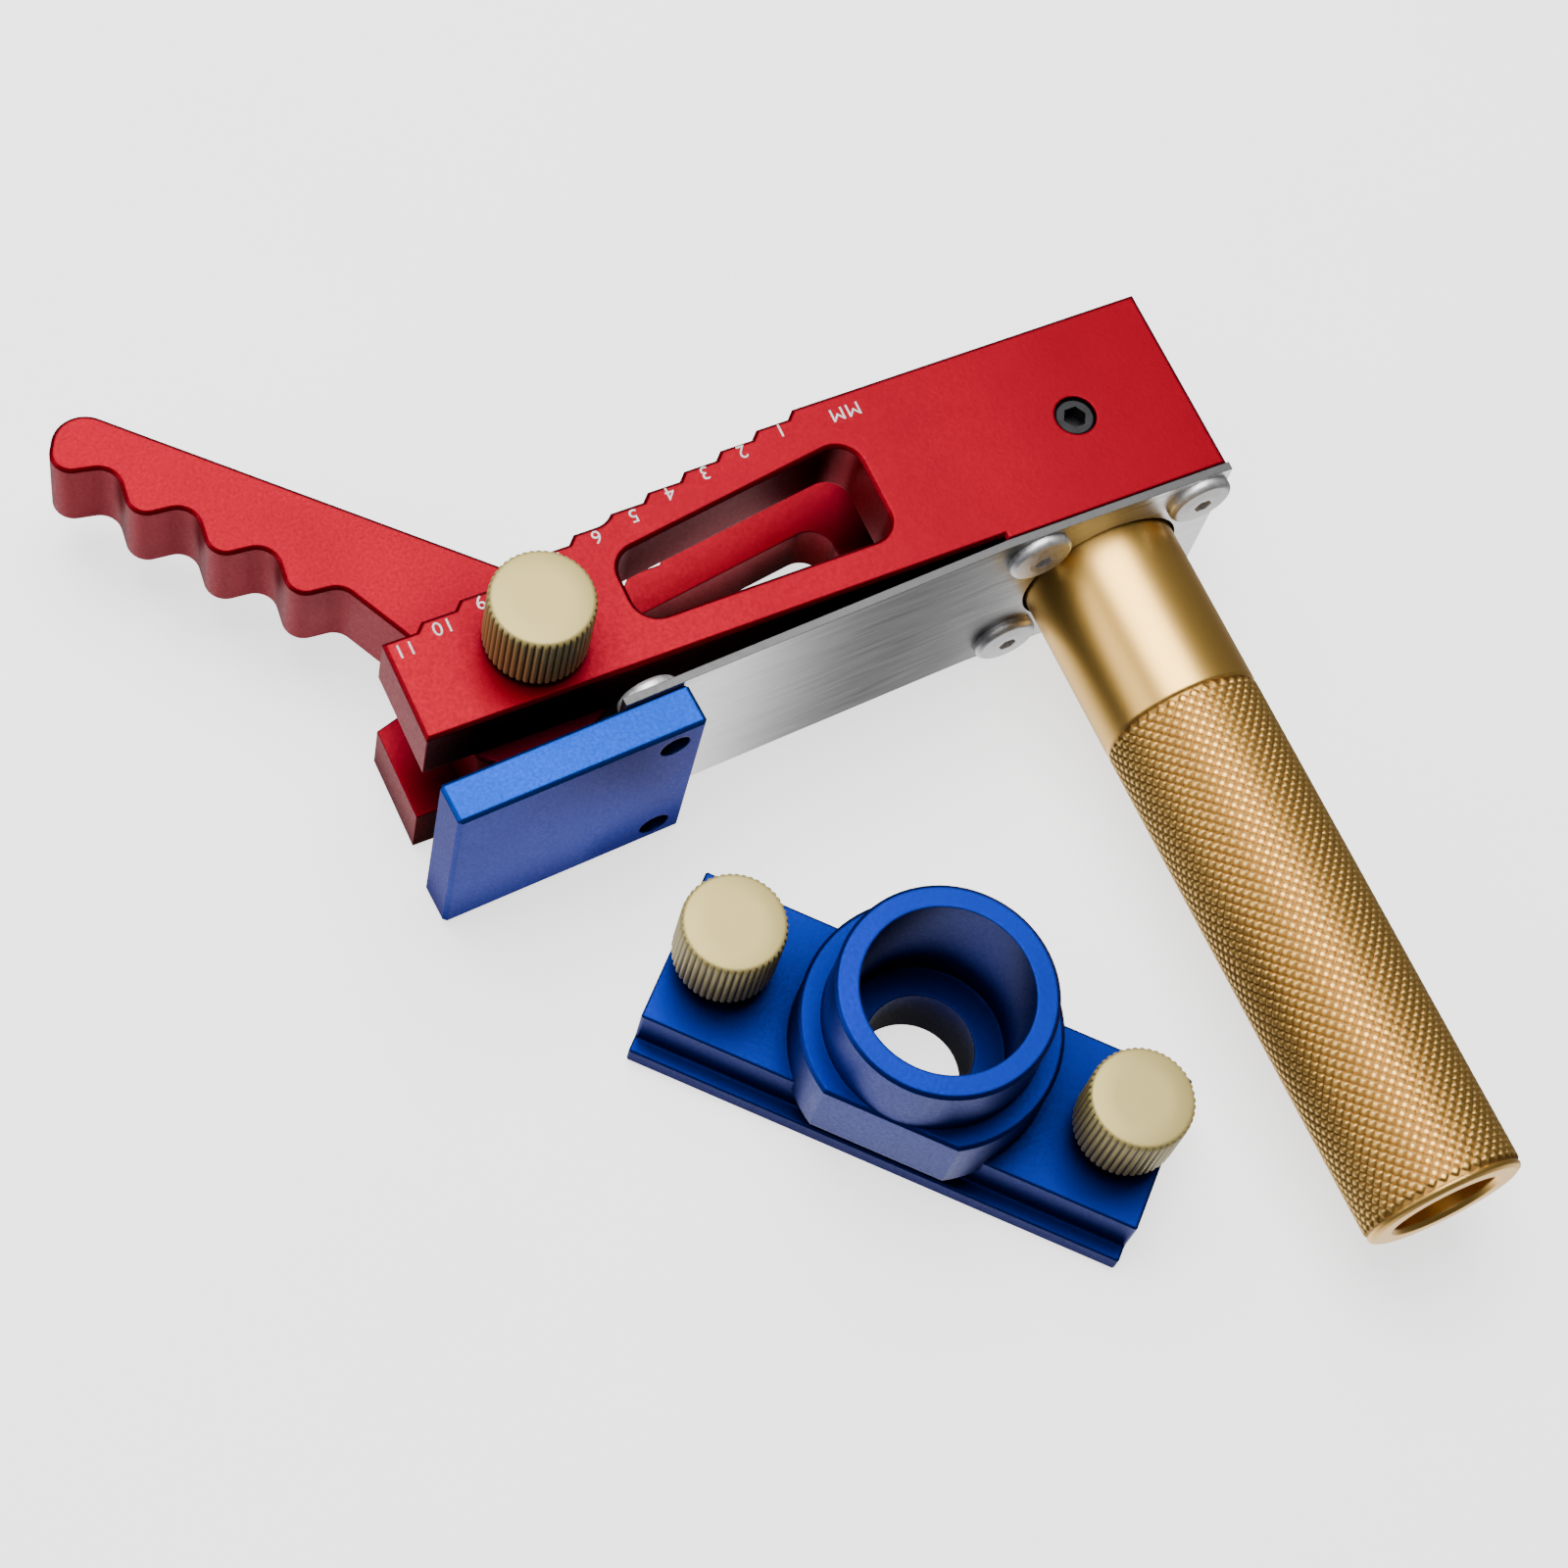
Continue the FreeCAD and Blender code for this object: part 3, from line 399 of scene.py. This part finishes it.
def knurled_knob(node):
    """A brass knob with straight teeth round its side, in place of the plain CAD one."""
    low, high = box_mm(node)
    centre = (low + high) / 2
    radius = (high.x - low.x) / 2
    # from the underside up to the top, as (radius, height, share of the groove's depth)
    rings = [
        (KNOB_BORE, low.z, 0.0),
        (radius - 1.1, low.z, 0.0),
        (radius - 0.42, low.z + 0.08, 0.25),
        (radius - 0.05, low.z + KNOB_BEVEL, 1.0),
        (radius, low.z + KNOB_BEVEL + 0.25, 1.0),
        (radius, high.z - KNOB_BEVEL - 0.25, 1.0),
        (radius - 0.04, high.z - KNOB_BEVEL + 0.05, 0.9),
        (radius - 0.18, high.z - 0.22, 0.45),
        (radius - 0.38, high.z - 0.06, 0.0),
        (radius - 0.60, high.z, 0.0),
        (radius * 0.5, high.z, 0.0),
    ]
    count = KNOB_TEETH * KNOB_STEPS
    points, depths = [], []
    for ring_radius, height, share in rings:
        for i in range(count):
            depth = share * knurl_depth(i / KNOB_STEPS)
            depths.append(depth)
            reach = ring_radius - KNOB_GROOVE * depth
            angle = 2 * math.pi * i / count
            points.append((centre.x + reach * math.cos(angle), centre.y + reach * math.sin(angle), height))
    faces = []
    for k in range(len(rings) - 1):
        faces += ring_faces(k * count, (k + 1) * count, count)
    top = (len(rings) - 1) * count
    points.append((centre.x, centre.y, high.z))
    faces += [(top + i, top + (i + 1) % count, len(points) - 1) for i in range(count)]
    # the bore that the stud or bolt screws into
    bore_top = len(points)
    for i in range(count):
        angle = 2 * math.pi * i / count
        across = Vector((math.cos(angle), math.sin(angle))) * KNOB_BORE
        points.append((centre.x + across.x, centre.y + across.y, high.z - KNOB_ROOF))
    faces += ring_faces(bore_top, 0, count)
    faces.append(tuple(bore_top + i for i in range(count)))
    depths += [0.0] * (len(points) - len(depths))
    knob = mesh_object(node + "_knurled", points, faces, BRASS, 25.0, depths)
    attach(knob, KNOB_BODIES[node])
    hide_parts(node)


KNOB_BODIES = {
    "clamp_knob": "clamp_knob",
    "thumb_knob_left": "left_knob",
    "thumb_knob_right": "right_knob",
}
for knob_node in KNOB_BODIES:
    knurled_knob(knob_node)


# ---------------------------------------------------------------- handle with a diamond knurl

KNURL_COLUMNS = 42
# Y where the smooth part of the handle ends
KNURL_START = -34.5
# plain band between the knurl and the handle's far end
RIM = 0.9
KNURL_DEPTH = 0.30
# length of a diamond along the handle against its width round it
ROW_STRETCH = 1.02
# size of a diamond's flat top against the whole diamond
TOP_SHARE = 0.50
HANDLE_BORE = 6.3
HANDLE_BEVEL = 0.8
BORE_BEVEL = 0.5


def knurled_handle():
    """The handle as one closed surface: flat-topped diamonds between crossing grooves, ends and bore."""
    low, high = box_mm("grip_tube")
    centre = (low + high) / 2
    radius = (high.x - low.x) / 2
    columns = 2 * KNURL_COLUMNS
    knurl_end = low.y + RIM
    column = 2 * math.pi / columns
    row_height = radius * column * ROW_STRETCH
    rows = 2 * round((KNURL_START - knurl_end) / row_height / 2)
    row = (KNURL_START - knurl_end) / rows
    points, faces, depths = [], [], []

    def place(i, reach, y, depth=0.0):
        angle = i * column
        points.append((centre.x + reach * math.sin(angle), y, centre.z + reach * math.cos(angle)))
        depths.append(depth)
        return len(points) - 1

    # groove crossings where i + j is even; each diamond sits between four of them
    floor = radius - KNURL_DEPTH
    crossing = {}
    for j in range(rows + 1):
        for i in range(columns):
            if (i + j) % 2 == 0 or j in (0, rows):
                crossing[i, j] = place(i, floor, KNURL_START - j * row, 1.0)
    for j in range(rows + 1):
        for i in range(columns):
            if (i + j) % 2 == 0:
                continue
            left, right = crossing[(i - 1) % columns, j], crossing[(i + 1) % columns, j]
            if j == 0 or j == rows:
                inner = crossing[i, 1] if j == 0 else crossing[i, rows - 1]
                faces.append((left, crossing[i, j], right, inner))
                continue
            above, below = crossing[i, j - 1], crossing[i, j + 1]
            y = KNURL_START - j * row
            top = [
                place(i - TOP_SHARE, radius, y),
                place(i, radius, y + row * TOP_SHARE),
                place(i + TOP_SHARE, radius, y),
                place(i, radius, y - row * TOP_SHARE),
            ]
            around = [left, above, right, below]
            faces.append(tuple(top))
            for k in range(4):
                faces.append((around[k], around[(k + 1) % 4], top[(k + 1) % 4], top[k]))

    def ring(reach, y):
        return [place(i, reach, y) for i in range(columns)]

    def join(first, second):
        for i in range(columns):
            beside = (i + 1) % columns
            faces.append((first[i], first[beside], second[beside], second[i]))

    start = [crossing[i, 0] for i in range(columns)]
    end = [crossing[i, rows] for i in range(columns)]
    # from the knurl's start to the end in the block, back through the bore, and round the far rim
    profile = [
        (radius - 0.10, KNURL_START + 0.18),
        (radius, KNURL_START + 0.34),
        (radius, high.y - HANDLE_BEVEL),
        (radius - HANDLE_BEVEL, high.y),
        (HANDLE_BORE, high.y),
        (HANDLE_BORE, low.y + BORE_BEVEL),
        (HANDLE_BORE + BORE_BEVEL, low.y),
        (radius - HANDLE_BEVEL, low.y),
        (radius - 0.24, low.y + 0.30),
        (radius - 0.12, low.y + 0.62),
    ]
    last = start
    for reach, y in profile:
        following = ring(reach, y)
        join(last, following)
        last = following
    join(last, end)
    handle = mesh_object("handle_knurled", points, faces, KNURL_GOLD, 28.0, depths)
    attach(handle, "frame")
    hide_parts("grip_tube")


knurled_handle()


# ---------------------------------------------------------------- spring leaf

# X where the leaf leaves the boss, and where the pad holds it straight again
BEND_X = -14.9
PAD_START_X = -56.3
LEAF_CUTS = 12
# faces that look along Y by more than this are rolled, and the others are cut edges
FLAT_FACE = 0.7


def bending_leaf():
    """The leaf, cut across into strips between the block and the pad."""
    made = bmesh.new()
    made.from_mesh(NODES["leaf_spring"].data)
    bmesh.ops.remove_doubles(made, verts=made.verts, dist=1e-7)
    for i in range(LEAF_CUTS + 1):
        x = BEND_X + (PAD_START_X - BEND_X) * i / LEAF_CUTS
        everything = made.verts[:] + made.edges[:] + made.faces[:]
        bmesh.ops.bisect_plane(made, geom=everything, plane_co=(x * MM, 0, 0), plane_no=(1, 0, 0))
    shade(made, 30.0)
    for face in made.faces:
        face.material_index = 0 if abs(face.normal.y) > FLAT_FACE else 1
    mesh = bpy.data.meshes.new("leaf_bending")
    made.to_mesh(mesh)
    made.free()
    mesh.materials.append(LEAF)
    mesh.materials.append(CUT_EDGE)
    leaf = bpy.data.objects.new("leaf_bending", mesh)
    bpy.context.scene.collection.objects.link(leaf)
    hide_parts("leaf_spring")
    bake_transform(leaf)


bending_leaf()


# ---------------------------------------------------------------- printed scale

TOP_FACE = box_mm("body_block")[1].z
PRINT_THICKNESS = 0.02
DIGIT_SIZE = 2.4
# (mark, X, Y) of the middle of each mark
DIGIT_PLACES = [
    ("1", -33.3, 10.3),
    ("2", -38.6, 9.3),
    ("3", -43.8, 8.3),
    ("4", -48.6, 7.3),
    ("5", -53.6, 6.1),
    ("6", -58.6, 5.1),
    ("7", -63.7, 4.1),
    ("8", -68.8, 3.1),
    ("9", -73.9, 2.2),
    ("10", -78.9, 0.9),
    ("11", -83.8, -0.2),
    ("MM", -25.2, 9.9),
]


def print_mark(text, x, y):
    """A mark printed on the block's top face, read from the stepped side."""
    curve = bpy.data.curves.new("mark_" + text, "FONT")
    curve.body = text
    curve.size = DIGIT_SIZE * MM
    curve.align_x = "CENTER"
    curve.align_y = "CENTER"
    curve.extrude = PRINT_THICKNESS / 2 * MM
    curve.resolution_u = 6
    curve.space_character = 1.12
    source = bpy.data.objects.new("mark_source", curve)
    bpy.context.scene.collection.objects.link(source)
    bpy.context.view_layer.update()
    mesh = bpy.data.meshes.new_from_object(source.evaluated_get(bpy.context.evaluated_depsgraph_get()))
    bpy.data.objects.remove(source)
    height = TOP_FACE + PRINT_THICKNESS / 2
    turn = Matrix.Translation(Vector((x, y, height)) * MM) @ Matrix.Rotation(math.pi, 4, "Z")
    mesh.transform(turn)
    mesh.materials.clear()
    mesh.materials.append(PRINT)
    mark = bpy.data.objects.new("scale_" + text.lower(), mesh)
    bpy.context.scene.collection.objects.link(mark)
    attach(mark, "frame")


for mark_text, mark_x, mark_y in DIGIT_PLACES:
    print_mark(mark_text, mark_x, mark_y)


# ---------------------------------------------------------------- floor, camera and lights

FLOOR_GLOW = 1.7
# half the floor's width in metres, and its depth below the object in millimetres
FLOOR_HALF = 3.0
FLOOR_DROP = 0.05


def floor():
    """A plain pale floor just under the object."""
    mesh = bpy.data.meshes.new("floor")
    corners = [(-1, -1), (1, -1), (1, 1), (-1, 1)]
    points = [(x * FLOOR_HALF, y * FLOOR_HALF, -FLOOR_DROP * MM) for x, y in corners]
    mesh.from_pydata(points, [], [(0, 1, 2, 3)])
    material, tree, shader = new_material("floor_pale")
    mottle = noise(tree, object_points(tree), 30.0, 3.0)
    colour = blend_colours(tree, spread(tree, mottle, 0.0, 1.0), (0.88, 0.88, 0.88), (0.91, 0.91, 0.91))
    tree.links.new(colour, shader.inputs["Base Color"])
    shader.inputs["Roughness"].default_value = 0.9
    shader.inputs["Emission Color"].default_value = (1.0, 1.0, 1.0, 1.0)
    shader.inputs["Emission Strength"].default_value = FLOOR_GLOW
    mesh.materials.append(material)
    ground = bpy.data.objects.new("floor", mesh)
    bpy.context.scene.collection.objects.link(ground)
    # the object is lit and reflects by the studio's soft tones below it, and not by the bright floor
    ground.visible_glossy = False
    ground.visible_diffuse = False


CAMERA_PLACE = Vector((-170.48, -158.61, 384.91))
CAMERA_AHEAD = Vector((0.299, 0.324, -0.898)).normalized()
CAMERA_ROLL = -19.3
LENS = 83.82


def camera():
    """A long lens above the handle's side, rolled about its own axis."""
    data = bpy.data.cameras.new("camera")
    data.lens = LENS
    data.sensor_width = 36.0
    data.clip_start = 0.01
    data.clip_end = 20.0
    view = bpy.data.objects.new("camera", data)
    bpy.context.scene.collection.objects.link(view)
    level = CAMERA_AHEAD.cross(Vector((0, 0, 1))).normalized()
    upward = level.cross(CAMERA_AHEAD)
    roll = math.radians(CAMERA_ROLL)
    right = level * math.cos(roll) - upward * math.sin(roll)
    up = upward * math.cos(roll) + level * math.sin(roll)
    turn = Matrix((right, up, -CAMERA_AHEAD)).transposed().to_4x4()
    view.matrix_world = Matrix.Translation(CAMERA_PLACE * MM) @ turn
    bpy.context.scene.camera = view


# the point that the lights face
SUBJECT = Vector((-40.0, -40.0, 15.0))


def area_light(name, direction, distance, size, power):
    """A soft square light that faces the object, from a direction and distance in millimetres."""
    data = bpy.data.lights.new(name, "AREA")
    data.shape = "RECTANGLE"
    data.size = size[0] * MM
    data.size_y = size[1] * MM
    data.energy = power
    lamp = bpy.data.objects.new(name, data)
    bpy.context.scene.collection.objects.link(lamp)
    way = Vector(direction).normalized()
    lamp.location = (SUBJECT + way * distance) * MM
    lamp.rotation_euler = way.to_track_quat("Z", "Y").to_euler()


STUDIO_ABOVE = 0.10
STUDIO_BELOW = 0.45
# soft white cards below the horizon, as (direction, glow)
CARDS = [
    (Vector((0.31, -0.35, -0.88)).normalized(), 1.25),
    (Vector((-0.38, 0.02, -0.92)).normalized(), 1.5),
]


def world():
    """A dim room, with soft white cards low in front that the upright faces reflect."""
    studio = bpy.data.worlds.new("studio")
    studio.use_nodes = True
    bpy.context.scene.world = studio
    tree = studio.node_tree
    place = add(tree, "ShaderNodeTexCoord")
    split = add(tree, "ShaderNodeSeparateXYZ")
    tree.links.new(place.outputs["Generated"], split.inputs["Vector"])
    total = spread(tree, split.outputs["Z"], STUDIO_BELOW, STUDIO_ABOVE, -0.90, -0.35)
    for way, glow in CARDS:
        toward = add(tree, "ShaderNodeVectorMath", operation="DOT_PRODUCT")
        toward.inputs[1].default_value = way
        tree.links.new(place.outputs["Generated"], toward.inputs[0])
        card = spread(tree, toward.outputs["Value"], 0.0, glow, 0.80, 0.98)
        both = add(tree, "ShaderNodeMath", operation="ADD")
        tree.links.new(total, both.inputs[0])
        tree.links.new(card, both.inputs[1])
        total = both.outputs[0]
    background = tree.nodes["Background"]
    background.inputs["Color"].default_value = (1.0, 1.0, 1.0, 1.0)
    tree.links.new(total, background.inputs["Strength"])


floor()
camera()
world()
area_light("overhead", (-0.01, 0.32, 0.93), 900, (720, 700), 13.0)
area_light("fill", (-0.50, -0.10, 0.85), 900, (600, 600), 1.0)
area_light("left", (-0.87, 0.32, 0.36), 700, (260, 500), 1.2)
